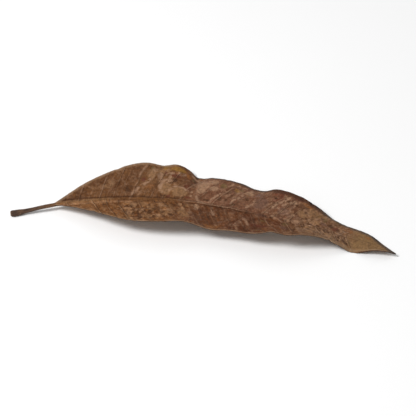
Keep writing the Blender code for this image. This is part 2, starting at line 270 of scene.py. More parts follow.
SHADED_CREASES = [
    [(0.302, 0.17), (0.325, 0.13)],
    [(0.342, 0.12), (0.363, 0.14), (0.378, 0.26)],
    [(0.414, -0.06), (0.440, -0.03), (0.462, -0.02), (0.491, -0.05)],
    [(0.505, -0.09), (0.512, -0.14)],
    [(0.526, -0.05), (0.554, -0.05), (0.590, -0.02), (0.640, -0.05)],
    [(0.313, -0.07), (0.325, -0.20)],
    [(0.335, -0.08), (0.352, -0.22)],
    [(0.368, -0.05), (0.377, -0.22)],
    [(0.429, -0.40), (0.451, -0.65)],
    [(0.455, -0.45), (0.468, -0.62)],
    [(0.478, -0.20), (0.490, -0.42)],
    [(0.236, -0.30), (0.247, -0.76)],
    [(0.835, -0.05), (0.852, -0.10)],
]

# Stalk: its middle line and radius, as (X, Y, Z, radius), from the foot into the blade.
STALK = [
    (-0.1175, -0.0266, 0.00165, 0.0013), (-0.1168, -0.0263, 0.00165, 0.0018),
    (-0.1148, -0.0255, 0.00165, 0.0020), (-0.1128, -0.0246, 0.00172, 0.0019),
    (-0.1095, -0.0234, 0.00225, 0.00145), (-0.1060, -0.0221, 0.00280, 0.00125),
    (-0.1010, -0.0201, 0.00355, 0.00118), (-0.0960, -0.0181, 0.00410, 0.0012),
    (-0.0924, -0.0166, 0.00432, 0.00118), (-0.0885, -0.0150, 0.00435, 0.00095),
    (-0.0845, -0.0135, 0.00430, 0.0006),
]
STALK_RINGS = 150
STALK_SIDES = 36

# Wrinkles of the stalk, each as (share of the radius, number round it, radians a metre along it).
STALK_WRINKLES = [(0.035, 7, 60), (0.02, 13, -200)]
STALK_GRAIN = 0.03
STALK_GRAIN_LENGTH = 0.002
STALK_GROOVE = 0.10
STALK_GROOVE_REACH = 0.5
STALK_SCAR = 0.00015

# Metres round the stalk for each radian, in its grain and in its material.
STALK_GRAIN_ROUND = 0.0015
STALK_ROUND = 0.0012

# Colours, linear. The ground of each half is given for its base, middle and tip thirds.
FAR_GROUND = [(0.150, 0.060, 0.0165), (0.160, 0.064, 0.031), (0.218, 0.108, 0.049)]
NEAR_GROUND = [(0.202, 0.083, 0.023), (0.134, 0.041, 0.009), (0.226, 0.121, 0.054)]
GROUND_DARK = (0.72, 0.64, 0.60)
STAIN_COLOURS = {
    "mauve": (0.148, 0.074, 0.048),
    "olive": (0.150, 0.092, 0.034),
    "tan": (0.252, 0.132, 0.060),
    "pink": (0.310, 0.177, 0.103),
    "rust": (0.205, 0.074, 0.018),
    "maroon": (0.118, 0.030, 0.013),
    "dark": (0.055, 0.019, 0.005),
    "ochre": (0.245, 0.120, 0.022),
}
PATCH_RUST = (0.160, 0.060, 0.022)
# Pale veins and streaks; also the painted highlight beside the midrib near the base.
PALE_VEIN = (0.350, 0.205, 0.125)
# Dark veins and dots; also the painted shade in the creases and beside the midrib.
DARK_VEIN = (0.050, 0.017, 0.005)
MOTTLE_LIGHT = (0.285, 0.160, 0.088)
# Dark mottles and stripes; also painted shade beside the side veins.
MOTTLE_DARK = (0.060, 0.021, 0.006)
RIB_TAN = (0.262, 0.142, 0.066)
# Painted light: the pale edges of the far margin near the base and of the near margin.
RIM_HIGHLIGHT = (0.330, 0.210, 0.125)
# Dark brown of the margins: the blade's own on its thin side faces, and painted shadow by the near tip and,
# in part, along the far margin.
RIM_BROWN = (0.060, 0.022, 0.010)
# Painted shadow: the grey in the far margin's dark edge.
RIM_SHADOW_GREY = (0.075, 0.046, 0.028)
RIM_BLACK = (0.010, 0.006, 0.004)
TIP_TAN = (0.194, 0.107, 0.043)
TIP_GREY = (0.055, 0.040, 0.030)
TINT_WARMER = (1.05, 0.98, 0.85)
TINT_DUSKIER = (0.91, 0.86, 0.84)
UNDER_TAN = (0.290, 0.185, 0.105)
# Brown of the underside; also laid beside its side veins as painted shade.
UNDER_BROWN = (0.170, 0.092, 0.050)
UNDER_RUST = (0.190, 0.085, 0.036)
UNDER_DARK = (0.070, 0.034, 0.018)
UNDER_VEIN = (0.360, 0.230, 0.130)
STALK_BROWN = (0.120, 0.062, 0.034)
STALK_DARK = (0.045, 0.022, 0.013)
STALK_PALE = (0.250, 0.155, 0.090)
STALK_WARM = (0.160, 0.075, 0.030)

# Shine, roughness and depth of the finest relief.
UPPER_SHINE = 0.16
UPPER_DEPTH = 0.00040
UNDER_SHINE = 0.25
UNDER_ROUGHNESS = 0.68
UNDER_DEPTH = 0.00022
STALK_SHINE = 0.3
STALK_ROUGHNESS = 0.7
STALK_DEPTH = 0.0004
FLOOR_SHINE = 0.1
FLOOR_ROUGHNESS = 0.9

# View of the photograph, and the light. Angles are in degrees, the sensor's width in millimetres.
CAMERA_ELEVATION = 45.0
CAMERA_AZIMUTH = 11.0
CAMERA_DISTANCE = 0.85
CAMERA_TARGET = (0.0, 0.003, 0.0)
CAMERA_CLIP = 0.01
SENSOR_WIDTH = 36.0
VIEW_WIDTH = 0.2565
FLOOR_SIZE = 6.0
FLOOR_COLOUR = (0.92, 0.92, 0.92)
SKY_STRENGTH = 0.38
KEY_PLACE = (-0.70, -0.45, 1.20)
KEY_SIZE = 0.5
KEY_POWER = 18.0
FILL_PLACE = (0.7, 0.9, 0.9)
FILL_SIZE = 1.0
FILL_POWER = 3.0


def smooth(points, at):
    """A smooth curve through (t, value) points, read at the values in at."""
    places, values = np.array(points).T
    slopes = np.gradient(values, places)
    k = np.clip(np.searchsorted(places, at) - 1, 0, len(places) - 2)
    gap = places[k + 1] - places[k]
    s = (at - places[k]) / gap
    ends = values[k] * (1 + 2 * s) * (1 - s) ** 2 + values[k + 1] * s**2 * (3 - 2 * s)
    return ends + gap * s * (1 - s) * (slopes[k] * (1 - s) - slopes[k + 1] * s)


def hump(distance, reach):
    """1 at no distance, falling smoothly to nearly 0 at twice the reach."""
    return np.exp(-((distance / reach) ** 2))


def ripple(x, y, length, seed):
    """Smooth random waves of about this length, from -1 to 1 for the most part."""
    random = np.random.default_rng(seed)
    total = np.zeros_like(x)
    for _ in range(RIPPLE_WAVES):
        angle = random.uniform(0, 2 * np.pi)
        turns = 2 * np.pi / (length * random.uniform(0.6, 1.6))
        total += np.sin(turns * (x * np.cos(angle) + y * np.sin(angle)) + random.uniform(0, 2 * np.pi))
    return total / RIPPLE_SCALE


def midrib(t):
    """Points of the midrib."""
    return np.stack([BASE_X + BLADE_SPAN * t, smooth(MIDRIB_SIDE, t), smooth(MIDRIB_HEIGHT, t)], axis=-1)


def half_width(t, v):
    """Distance from the midrib to the margin on the side that v is on."""
    half = np.where(v > 0, smooth(FAR_HALF, t), smooth(NEAR_HALF, t))
    for place, side, reach, depth in NICKS:
        half = half - (np.sign(v) == side) * depth * hump(t - place, reach)
    x = t * BLADE_SPAN
    ragged = ripple(x, np.sign(v) * SIDES_APART, RAGGED_LENGTH, SEEDS["margin"])
    ragged += 0.5 * ripple(x, v * 0, RAGGED_FINE_LENGTH, SEEDS["margin_fine"])
    return half + MARGIN_RAGGED * ragged * np.clip(half / NARROW, 0, 1)


def surface(t, v):
    """Points of the blade's middle surface."""
    step = 1e-3
    along = midrib(np.clip(t + step, 0, 1)) - midrib(np.clip(t - step, 0, 1))
    length = np.hypot(along[:, 0], along[:, 1])
    margin = np.where(v > 0, smooth(FAR_HEIGHT, t), smooth(NEAR_HEIGHT, t))
    bend = np.where(v > 0, FAR_BEND, NEAR_BEND)
    reach = half_width(t, v) * v
    points = midrib(t)
    points[:, 0] -= along[:, 1] / length * reach
    points[:, 1] += along[:, 0] / length * reach
    points[:, 2] += (margin - points[:, 2]) * np.abs(v) ** bend
    return points


def along_vein(row_t, v):
    """t on a row of the grid. Each row leaves the midrib and curves to the tip, as a side vein does."""
    u = np.abs(v)
    return row_t + VEIN_ADVANCE * (0.7 * u + 0.3 * u**3) * 4 * row_t * (1 - row_t)


def spot(t, v, spot_t, spot_v, reach_t, reach_v):
    """1 in the middle of a soft round spot, falling to 0 round it."""
    return hump(np.hypot((t - spot_t) / reach_t, (v - spot_v) / reach_v), 1.0)


def spots(t, v, places):
    """The strongest of some spots, at each point."""
    found = np.zeros_like(t)
    for *place, strength in places:
        found = np.maximum(found, strength * spot(t, v, *place))
    return found


def swelling(t, v):
    """Height of the blisters and dents."""
    total = np.zeros_like(t)
    for *place, height in SWELLINGS:
        total += height * spot(t, v, *place)
    return total


def line_distance(x, y, lines):
    """Distance from flat places to the nearest of some lines of (t, v)."""
    nearest = np.full_like(x, 1.0)
    for line in lines:
        t, v = np.array(line).T
        flat = np.stack([t * BLADE_SPAN, v * half_width(t, v)], axis=1)
        for start, end in zip(flat, flat[1:]):
            run = end - start
            share = np.clip(((x - start[0]) * run[0] + (y - start[1]) * run[1]) / (run @ run), 0, 1)
            away = np.hypot(x - start[0] - share * run[0], y - start[1] - share * run[1])
            nearest = np.minimum(nearest, away)
    return nearest


class Blade:
    """The blade's grid: its places, both faces and what the material reads."""

    def __init__(self):
        columns = np.arange(-HALF_COLUMNS, HALF_COLUMNS + 1)
        row, column = np.meshgrid(np.arange(ROWS + 1), columns, indexing="ij")
        self.shape = row.shape
        row_t, column = row.ravel() / ROWS, column.ravel()
        share = np.abs(column) / HALF_COLUMNS
        self.u = share - COLUMN_CROWDING * np.sin(2 * np.pi * share) / (2 * np.pi)
        self.v = np.sign(column) * self.u
        self.t = along_vein(row_t, self.v)
        self.side = np.where(self.v > 0, 1.0, -1.0)
        uneven = ripple(row_t * BLADE_SPAN, SIDES_APART * self.side, VEIN_UNEVEN_LENGTH, SEEDS["veins"])
        self.phase = row_t * VEIN_PAIRS + np.where(self.v > 0, 0.5, 0.0) + VEIN_UNEVENNESS * uneven
        self.half = half_width(self.t, self.v)
        self.from_midrib = self.u * self.half
        self.from_margin = (1 - self.u) * self.half
        self.x = self.t * BLADE_SPAN
        self.y = self.v * self.half
        self.past_rib = self.y - smooth(RIB_SHIFT, self.t)
        self.from_rib = np.abs(self.past_rib)

    def normals(self, points):
        """Unit normals of the grid, pointing up."""
        grid = points.reshape(*self.shape, 3)
        normal = np.cross(np.gradient(grid, axis=0), np.gradient(grid, axis=1)).reshape(-1, 3)
        return normal / np.linalg.norm(normal, axis=1)[:, None]

    def bends(self, inside):
        """Height of the relief that both faces share."""
        between = 0.5 - 0.5 * np.cos(2 * np.pi * self.phase)
        bend = QUILT * (between - 0.5) * np.clip(self.from_midrib / QUILT_START, 0, 1)
        bend += CRUMPLE_COARSE * ripple(self.x, self.y, CRUMPLE_COARSE_LENGTH, SEEDS["crumple"])
        bend += CRUMPLE_FINE * ripple(self.x, self.y, CRUMPLE_FINE_LENGTH, SEEDS["crumple_fine"])
        bend *= inside
        bend += swelling(self.t, self.v) * (1 - self.u**8)
        curl = np.where(self.side > 0, RIM_CURL, 0.3 * RIM_CURL)
        curl = curl * np.clip(self.half / RIM_CURL_NARROW, 0, 1)
        return bend - curl * hump(self.from_margin, RIM_CURL_REACH)

    def faces(self):
        """(upper points, lower points)."""
        middle = surface(self.t, self.v)
        normal = self.normals(middle)
        inside = np.clip(self.half / NARROW, 0, 1) * (1 - self.u**6)
        bend = self.bends(inside)
        vein = hump(np.abs(self.phase - np.rint(self.phase)) * VEIN_PITCH * VEIN_SLANT, VEIN_REACH) * inside
        reach = smooth(RIB_REACH, self.t)
        rib = hump(self.from_rib, reach)
        beside = hump(self.from_rib - 1.9 * reach, 0.6 * reach)
        up = bend + BLADE_THICK / 2 + VEIN_RISE * vein
        up += smooth(RIB_RISE, self.t) * (rib - 0.6 * beside) * inside
        down = bend - BLADE_THICK / 2 - VEIN_DROP * vein * (1 - 0.6 * self.u)
        down -= smooth(RIB_DROP, self.t) * hump(self.from_midrib, RIB_DROP_REACH)
        lower = middle + normal * down[:, None]
        upper = middle + normal * up[:, None]
        lower[:, 2] = np.maximum(lower[:, 2], LOWEST)
        upper[:, 2] = np.maximum(upper[:, 2], lower[:, 2] + LEAST_THICK)
        return upper, lower


def grid_quads(rows, columns):
    """Corner numbers of a grid's quads."""
    row, column = np.meshgrid(np.arange(rows), np.arange(columns), indexing="ij")
    first = (row * (columns + 1) + column).ravel()
    return np.stack([first, first + columns + 1, first + columns + 2, first + 1], axis=1)


def rim_quads(edge, count):
    """Quads from the upper points along an edge down to the lower ones."""
    return np.stack([edge[:-1], edge[:-1] + count, edge[1:] + count, edge[1:]], axis=1)


def add_values(mesh, name, *values):
    """A vector that the material reads at each point. Values for one face are repeated for the other."""
    vectors = np.stack([np.resize(value, len(mesh.vertices)) for value in values], axis=1)
    attribute = mesh.attributes.new(name, "FLOAT_VECTOR", "POINT")
    attribute.data.foreach_set("vector", vectors.astype(np.float32).ravel())


def strip_map(faces, along, across, low, high):
    """Map places of faces in a strip of the square, from low to high."""
    return np.stack([along[faces], low + (high - low) * across[faces]], axis=-1)


def add_blade():
    """The blade as two faces joined by rims, with its map and what its materials read."""
    blade = Blade()
    upper, lower = blade.faces()
    rows, columns = ROWS, 2 * HALF_COLUMNS
    count = len(upper)
    number = np.arange(count).reshape(rows + 1, columns + 1)
    top = grid_quads(rows, columns)
    bottom = top[:, ::-1] + count
    edges = [number[:, 0], number[::-1, -1], number[0, ::-1], number[-1, :]]
    rims = [rim_quads(edge, count) for edge in edges]
    quads = np.concatenate([top, bottom, *rims])
    mesh = bpy.data.meshes.new("leaf_blade")
    mesh.from_pydata(np.concatenate([upper, lower]).tolist(), [], quads.tolist())

    along = np.tile(np.repeat(np.arange(rows + 1) / rows, columns + 1), 2)
    across = np.tile(np.arange(columns + 1) / columns, 2 * (rows + 1))
    below = np.repeat([0.0, 1.0], count)
    places = [
        strip_map(top, along, across, 0.52, 0.99),
        strip_map(bottom, along, across, 0.01, 0.48),
        strip_map(rims[0], along, below, 0.485, 0.490),
        strip_map(rims[1], along, below, 0.494, 0.499),
        strip_map(rims[2], 0.02 * across, below, 0.504, 0.508),
        strip_map(rims[3], 0.03 + 0.02 * across, below, 0.504, 0.508),
    ]
    layer = mesh.uv_layers.new(name="OFBake")
    layer.data.foreach_set("uv", np.concatenate(places).astype(np.float32).ravel())

    add_values(mesh, "place", blade.x, blade.y, 0.5 * below)
    add_values(mesh, "veins", blade.phase, blade.past_rib, blade.from_rib)
    add_values(mesh, "edges", blade.from_margin, blade.t, blade.side)
    stains = {name: spots(blade.t, blade.v, where) for name, where in STAINS.items()}
    for vector, names in STAIN_VECTORS.items():
        add_values(mesh, vector, *[stains[name] for name in names])
    lines = [line_distance(blade.x, blade.y, drawn) for drawn in (PALE_LINES, SHADED_CREASES)]
    add_values(mesh, "lines", *lines, stains["calm"])

    mesh.materials.append(upper_material())
    mesh.materials.append(under_material())
    which = np.zeros(len(quads), np.int32)
    which[len(top):len(top) + len(bottom)] = 1
    mesh.polygons.foreach_set("material_index", which)
    mesh.shade_smooth()
    mesh.update()
    add_piece("leaf_blade", mesh)


def add_stalk():
    """The stalk as rings round its middle line, wrinkled along its length, with a scar at its foot."""
    line = np.array(STALK)
    x = np.linspace(line[0, 0], line[-1, 0], STALK_RINGS)
    middle = np.stack([x, smooth(line[:, [0, 1]], x), smooth(line[:, [0, 2]], x)], axis=1)
    way = np.gradient(middle, axis=0)
    way /= np.linalg.norm(way, axis=1)[:, None]
    left = np.cross((0, 0, 1), way)
    left /= np.linalg.norm(left, axis=1)[:, None]
    up = np.cross(way, left)
    turns = np.linspace(0, 2 * np.pi, STALK_SIDES, endpoint=False)
    ring_x, turn = np.meshgrid(x, turns, indexing="ij")
    wrinkle = sum(size * np.sin(number * turn + along * ring_x) for size, number, along in STALK_WRINKLES)
    grain = ripple(ring_x, STALK_GRAIN_ROUND * turn, STALK_GRAIN_LENGTH, SEEDS["stalk"])
    wrinkle += STALK_GRAIN * grain - STALK_GROOVE * hump(turn - np.pi / 2, STALK_GROOVE_REACH)
    reach = (smooth(line[:, [0, 3]], x)[:, None] * (1 + wrinkle))[..., None]
    outward = np.cos(turn)[..., None] * left[:, None] + np.sin(turn)[..., None] * up[:, None]
    points = (middle[:, None] + reach * outward).reshape(-1, 3)
    points[:, 2] = np.maximum(points[:, 2], LOWEST)

    count = len(points)
    ring = np.arange(STALK_SIDES)
    after = (ring + 1) % STALK_SIDES
    start = np.arange(STALK_RINGS - 1)[:, None] * STALK_SIDES
    here, beyond = start + ring, start + after
    quads = np.stack([beyond, beyond + STALK_SIDES, here + STALK_SIDES, here], axis=-1).reshape(-1, 4)
    last = count - STALK_SIDES
    caps = [(count, int(b), int(a)) for a, b in zip(ring, after)]
    caps += [(count + 1, last + int(a), last + int(b)) for a, b in zip(ring, after)]
    mesh = bpy.data.meshes.new("leaf_stalk")
    ends = [middle[0] + way[0] * STALK_SCAR, middle[-1]]
    mesh.from_pydata(np.concatenate([points, ends]).tolist(), [], [*quads.tolist(), *caps])
    from_foot = np.append(ring_x.ravel() - x[0], [0, x[-1] - x[0]])
    round_it = np.append(turn.ravel() * STALK_ROUND, [0, 0])
    add_values(mesh, "place", from_foot, round_it, np.zeros(count + 2))
    mesh.materials.append(stalk_material())
    mesh.shade_smooth()
    mesh.update()
    add_piece("leaf_stalk", mesh)


def add_piece(name, mesh):
    """A piece that lies still, in place of the plain solid."""
    piece = bpy.data.objects.new(name, mesh)
    bpy.context.scene.collection.objects.link(piece)
    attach(piece, "root")
    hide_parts("leaf")


class Graph:
    """Short calls that add shader nodes to one material."""

    def __init__(self, name):
        self.material = bpy.data.materials.new(name)
        self.material.use_nodes = True
        self.tree = self.material.node_tree
        self.shader = self.tree.nodes["Principled BSDF"]

    def put(self, socket, value):
        if isinstance(value, bpy.types.NodeSocket):
            self.tree.links.new(value, socket)
        elif isinstance(value, tuple) and socket.type == "RGBA":
            socket.default_value = (*value, 1.0)
        else:
            socket.default_value = value

    def add(self, kind, inputs=(), **settings):
        node = self.tree.nodes.new(kind)
        for name, value in settings.items():
            setattr(node, name, value)
        for index, value in dict(inputs).items():
            self.put(node.inputs[index], value)
        return node

    def read(self, name):
        """The three values of a vector that the mesh holds, and the whole vector."""
        node = self.add("ShaderNodeAttribute", attribute_name=name)
        parts = self.add("ShaderNodeSeparateXYZ", {0: node.outputs["Vector"]})
        return [*parts.outputs, node.outputs["Vector"]]

    def math(self, operation, a, b=0.0):
        return self.add("ShaderNodeMath", {0: a, 1: b}, operation=operation).outputs[0]

    def chain(self, operation, values):
        total = values[0]
        for value in values[1:]:
            total = self.math(operation, total, value)
        return total

    def times(self, *values):
        return self.chain("MULTIPLY", values)

    def plus(self, *values):
        return self.chain("ADD", values)

    def most(self, *values):
        return self.chain("MAXIMUM", values)

    def less(self, value, share=1.0):
        """1 less this share of value."""
        return self.plus(1.0, self.times(value, -share))

    def centred(self, value, reach):
        """A value round 0.5, moved to lie round 0 and scaled by reach."""
        return self.times(self.plus(value, -0.5), reach)

    def join(self, x, y, z=0.0):
        return self.add("ShaderNodeCombineXYZ", {0: x, 1: y, 2: z}).outputs[0]

    def step(self, value, low, high, least=0.0, most=1.0):
        """Goes smoothly from least to most as value goes from low to high."""
        inputs = {0: value, 1: low, 2: high, 3: least, 4: most}
        return self.add("ShaderNodeMapRange", inputs, interpolation_type="SMOOTHSTEP").outputs[0]

    def noise(self, place, size, detail=3.0, roughness=0.55, twist=0.0):
        inputs = {"Vector": place, "Scale": 1 / size, "Detail": detail}
        inputs |= {"Roughness": roughness, "Distortion": twist}
        return self.add("ShaderNodeTexNoise", inputs).outputs[0]

    def vector(self, operation, inputs):
        return self.add("ShaderNodeVectorMath", inputs, operation=operation).outputs[0]

    def warp(self, place, size, reach):
        """The place, moved about by noise of this size by up to about reach."""
        noise = self.add("ShaderNodeTexNoise", {"Vector": place, "Scale": 1 / size, "Detail": 3.0})
        centred = self.vector("SUBTRACT", {0: noise.outputs["Color"], 1: (0.5, 0.5, 0.5)})
        moved = self.vector("SCALE", {0: centred, "Scale": 2.5 * reach})
        return self.vector("ADD", {0: place, 1: moved})

    def voronoi(self, output, place, size, feature="F1"):
        inputs = {"Vector": place, "Scale": 1 / size}
        return self.add("ShaderNodeTexVoronoi", inputs, feature=feature).outputs[output]

    def cells(self, place, size):
        """Two random values for each of some random cells."""
        parts = self.add("ShaderNodeSeparateColor", {0: self.voronoi("Color", place, size)})
        return parts.outputs[0], parts.outputs[1]

    def net(self, place, size, width):
        """1 on the borders of random cells, 0 inside them."""
        distance = self.voronoi("Distance", place, size, "DISTANCE_TO_EDGE")
        return self.step(distance, width / size, 0.0)

    def dots(self, place, size, reach):
        """1 at random points, falling to 0 within reach."""
        return self.step(self.voronoi("Distance", place, size), reach / size, 0.3 * reach / size)

    def mix(self, factor, below, above, blend="MIX"):
        node = self.add("ShaderNodeMix", {0: factor, 6: below, 7: above}, data_type="RGBA", blend_type=blend)
        return node.outputs[2]

    def lay(self, colour, over, *amounts):
        """The colour with another laid over it, by the product of the amounts."""
        return self.mix(self.times(*amounts), colour, over)

    def shade(self, colour, value):
        return self.mix(1.0, colour, self.join(value, value, value), "MULTIPLY")

    def finish(self, colour, roughness, height, depth, shine):
        bump = self.add("ShaderNodeBump", {"Strength": 1.0, "Distance": depth, "Height": height})
        self.put(self.shader.inputs["Base Color"], colour)
        self.put(self.shader.inputs["Roughness"], roughness)
        self.put(self.shader.inputs["Normal"], bump.outputs[0])
        self.put(self.shader.inputs["Specular IOR Level"], shine)
        return self.material


class Veins:
    """Where the veins of a blade's material run, each as 0 to 1."""

    def __init__(self, graph):
        _, y, layer, place = graph.read("place")
        phase, past_rib, from_rib, _ = graph.read("veins")
        from_margin, t, side, _ = graph.read("edges")
        self.place, self.layer, self.t, self.side, self.from_margin = place, layer, t, side, from_margin
        self.far_side = graph.step(side, -0.5, 0.5)
        self.near_side = graph.step(side, 0.5, -0.5)
        phase = graph.plus(phase, graph.centred(graph.noise(place, 0.012, 2.0), 0.25))
        pitch = VEIN_PITCH * VEIN_SLANT
        from_vein = graph.times(graph.math("PINGPONG", phase, 0.5), pitch)
        from_small = graph.times(graph.math("PINGPONG", graph.times(phase, 2.0), 0.5), pitch / 2)
        self.vein = graph.step(from_vein, 0.00055, 0.00015)
        # Near each side vein; the materials darken there as painted shade.
        self.shade_beside_vein = graph.step(from_vein, 0.0026, 0.0003)
        self.small = graph.step(from_small, 0.00040, 0.00008)
        self.stripe = graph.step(graph.math("PINGPONG", graph.times(phase, 3.0), 0.5), 0.05, 0.45)
        woven = graph.join(graph.times(phase, VEIN_PITCH * 1.1), graph.times(y, 0.9), layer)
        self.woven = graph.warp(woven, 0.0045, 0.0014)
        self.ladder = graph.net(self.woven, 0.0032, 0.00026)
        self.net = graph.net(place, 0.0009, 0.00012)
        along = graph.join(graph.times(phase, VEIN_PITCH / 0.0014), graph.times(y, 1 / 0.0045), layer)
        self.streaks = graph.noise(along, 1.0, 4.0, 0.6, 0.8)
        rib = graph.step(t, 0.25, 0.45, 0.0014, 0.00055)
        self.rib = graph.step(from_rib, rib, graph.times(rib, 0.6))
        # Lines along both sides of the rib, darkened as painted shade; on the near side at the base a pale
        # line, a painted highlight, takes their place, and they are half as dark there up to t 0.4.
        beside = graph.times(
            graph.step(from_rib, graph.times(rib, 0.8), graph.times(rib, 1.3)),
            graph.step(from_rib, graph.times(rib, 2.3), graph.times(rib, 1.6)),
        )
        near = graph.step(past_rib, 0.0002, -0.0002)
        lit = graph.times(near, graph.step(t, 0.24, 0.20))
        faint = graph.times(near, graph.step(t, 0.40, 0.36, 0.0, 0.5))
        self.shade_beside_rib = graph.times(beside, graph.less(graph.most(lit, faint)))
        self.lit_rib = graph.times(beside, lit)


def read_stains(graph):
    """The value of each stain, by its name."""
    stains = {}
    for vector, names in STAIN_VECTORS.items():
        stains.update(zip(names, graph.read(vector)))
    return stains


def ground(graph, veins):
    """The blade's own colour, which changes along each half."""
    halves = []
    for base, middle, tip in (NEAR_GROUND, FAR_GROUND):
        colour = graph.mix(graph.step(veins.t, 0.32, 0.43), base, middle)
        halves.append(graph.mix(graph.step(veins.t, 0.66, 0.75), colour, tip))
    return graph.mix(veins.far_side, *halves)


def patched(graph, colour, veins, amount):
    """The colour with patches that the small veins bound."""
    chance, other = graph.cells(graph.warp(veins.woven, 0.0007, 0.0005), 0.0027)
    warped = graph.warp(graph.warp(veins.place, 0.0018, 0.0006), 0.0005, 0.0004)
    small, other_small = graph.cells(warped, 0.0014)
    for picked, shown, patch in (
        (graph.step(chance, 0.62, 0.90), 0.60, MOTTLE_LIGHT),
        (graph.step(chance, 0.38, 0.10), 0.60, MOTTLE_DARK),
        (graph.step(other, 0.74, 0.86), 0.30, PATCH_RUST),
        (graph.step(other, 0.26, 0.14), 0.30, STAIN_COLOURS["mauve"]),
        (graph.step(small, 0.70, 0.95), 0.60, PALE_VEIN),
        (graph.step(small, 0.30, 0.05), 0.60, DARK_VEIN),
        (graph.step(other_small, 0.78, 0.92), 0.25, PATCH_RUST),
    ):
        colour = graph.lay(colour, patch, picked, amount, shown)
    return colour


def stained(graph, colour, stains, ragged):
    """The colour with every stain laid over it, each with a ragged edge; two dark spots among them are
    painted shade.
    """
    for name, stain in STAIN_COLOURS.items():
        amount = graph.step(graph.plus(stains[name], ragged), 0.36, 0.70, 0.0, 0.82)
        colour = graph.lay(colour, stain, amount)
    return colour


def tinted(graph, colour, veins):
    """The colour, warmer near the base of the near half and duskier further along it."""
    t, near = veins.t, veins.near_side
    blotched = graph.step(graph.noise(veins.place, 0.0042, 3.0, 0.6, 0.5), 0.40, 0.60, 0.88, 1.10)
    warmer = graph.shade(TINT_WARMER, blotched)
    colour = graph.mix(graph.times(near, graph.step(t, 0.42, 0.36)), colour, warmer, "MULTIPLY")
    dusky = graph.times(near, graph.step(t, 0.48, 0.56), graph.step(t, 0.74, 0.68))
    return graph.mix(dusky, colour, TINT_DUSKIER, "MULTIPLY")


def rims(graph, colour, veins, fine, dark_spot):
    """The colour with the margins' pale and dark edges and the dark tip. The pale edges are painted light,
    the far margin's dark edge is partly its own and partly painted shadow, and a dark band by the near tip
    is painted shadow.
    """
    t, far, near = veins.t, veins.far_side, veins.near_side
    coarse = graph.noise(veins.place, 0.005, 3.0)
    ragged = graph.plus(graph.centred(fine, 0.0009), graph.centred(coarse, 0.0016))
    edge = graph.plus(veins.from_margin, ragged)
    # The far margin's dark edge, wider along the blade: partly the margin's own dark rim and partly painted
    # shadow; the grey mixed into it is painted shadow.
    width = graph.plus(graph.step(t, 0.40, 0.50, 0.0016, 0.0026), graph.step(t, 0.58, 0.64, 0.0, 0.0012))
    width = graph.times(width, graph.step(t, 0.76, 0.82, 1.0, 0.92))
    dark = graph.step(edge, width, graph.times(width, 0.45))
    grey = graph.most(graph.step(t, 0.64, 0.58, 0.0, 0.6), graph.step(t, 0.74, 0.80))
    rim = graph.mix(grey, RIM_BROWN, RIM_SHADOW_GREY)
    colour = graph.lay(colour, rim, dark, far, graph.step(t, 0.375, 0.41), 0.9)
    # Painted light: a pale edge on the far margin near the base, lightening its curled rim.
    pale = graph.step(edge, 0.0020, 0.0006)
    colour = graph.lay(colour, RIM_HIGHLIGHT, pale, far, graph.step(t, 0.36, 0.33), 0.5)
    at_margin = graph.step(veins.from_margin, 0.0024, 0.0008)
    colour = graph.lay(colour, RIM_BLACK, graph.step(dark_spot, 0.5, 0.9), at_margin, 0.9)
    # Painted highlight: a pale edge along the near margin, wider towards the tip.
    width = graph.step(t, 0.78, 0.84, 0.0012, 0.0028)
    pale = graph.step(edge, width, graph.times(width, 0.5))
    uneven = graph.step(graph.noise(veins.place, 0.02, 2.0), 0.35, 0.6, 0.45, 1.0)
    colour = graph.lay(colour, RIM_HIGHLIGHT, pale, near, uneven, 0.75)
    # Painted shadow: a dark band along the near margin by the tip.
    near_tip_shadow = graph.step(edge, 0.0013, 0.0004)
    colour = graph.lay(colour, RIM_BROWN, near_tip_shadow, near, graph.step(t, 0.885, 0.915), 0.85)
    ragged_t = graph.plus(t, graph.centred(coarse, 0.05), graph.centred(fine, 0.02))
    colour = graph.lay(colour, TIP_GREY, graph.step(ragged_t, 0.960, 0.992, 0.0, 0.9))
    return graph.lay(colour, RIM_BROWN, graph.step(veins.layer, 0.05, 0.25))


